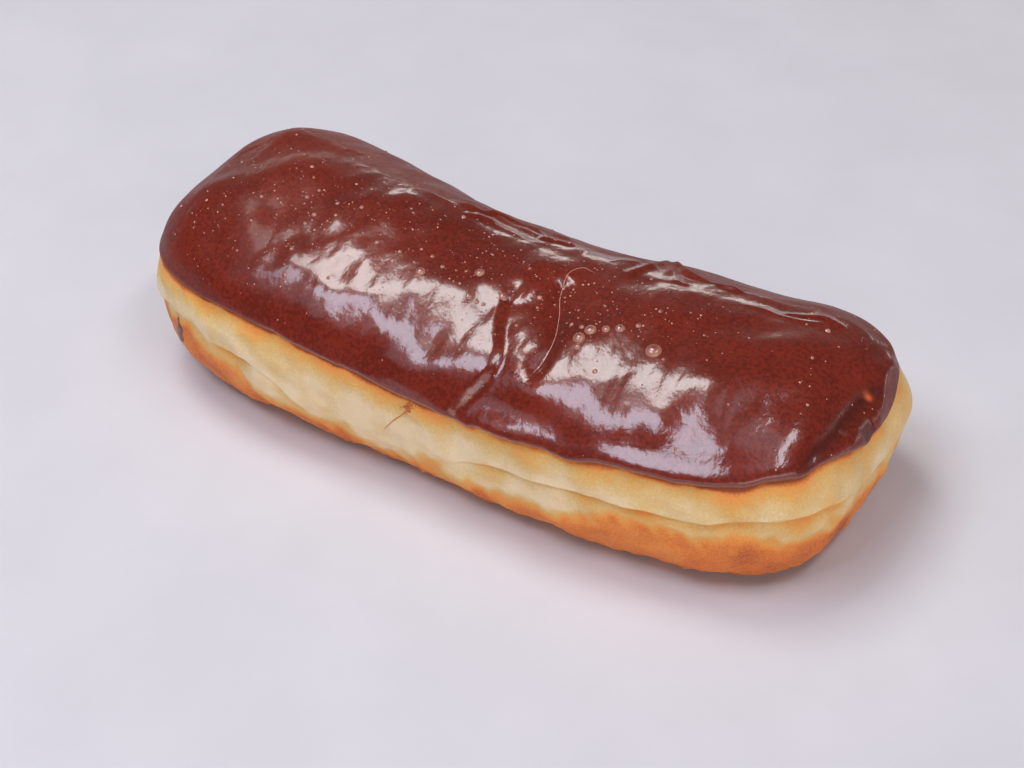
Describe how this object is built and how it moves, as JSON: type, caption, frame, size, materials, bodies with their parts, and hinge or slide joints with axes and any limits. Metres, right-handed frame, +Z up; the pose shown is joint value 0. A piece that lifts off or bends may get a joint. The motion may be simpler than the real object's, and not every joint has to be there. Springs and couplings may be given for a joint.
{
  "type": "long john doughnut",
  "caption": "Bar-shaped fried yeast doughnut with a crease round its pale sides and a glossy coat of chocolate icing set over its top.",
  "frame": {"origin": "under the middle of the bar's box, on the surface that it rests on", "axes": "+X along the bar towards its lower end, +Z up through the icing, the side shown in front is -Y"},
  "size_m": [0.1726, 0.07, 0.0454],
  "materials": {
    "dough": "soft fried dough, pale yellow at the sides and browned below and under the icing's edge",
    "icing": "glossy set chocolate icing with small bubbles"
  },
  "bodies": {
    "root": {"dough": "dough", "icing": "icing", "icing_dab": "icing"}
  },
  "joints": []
}
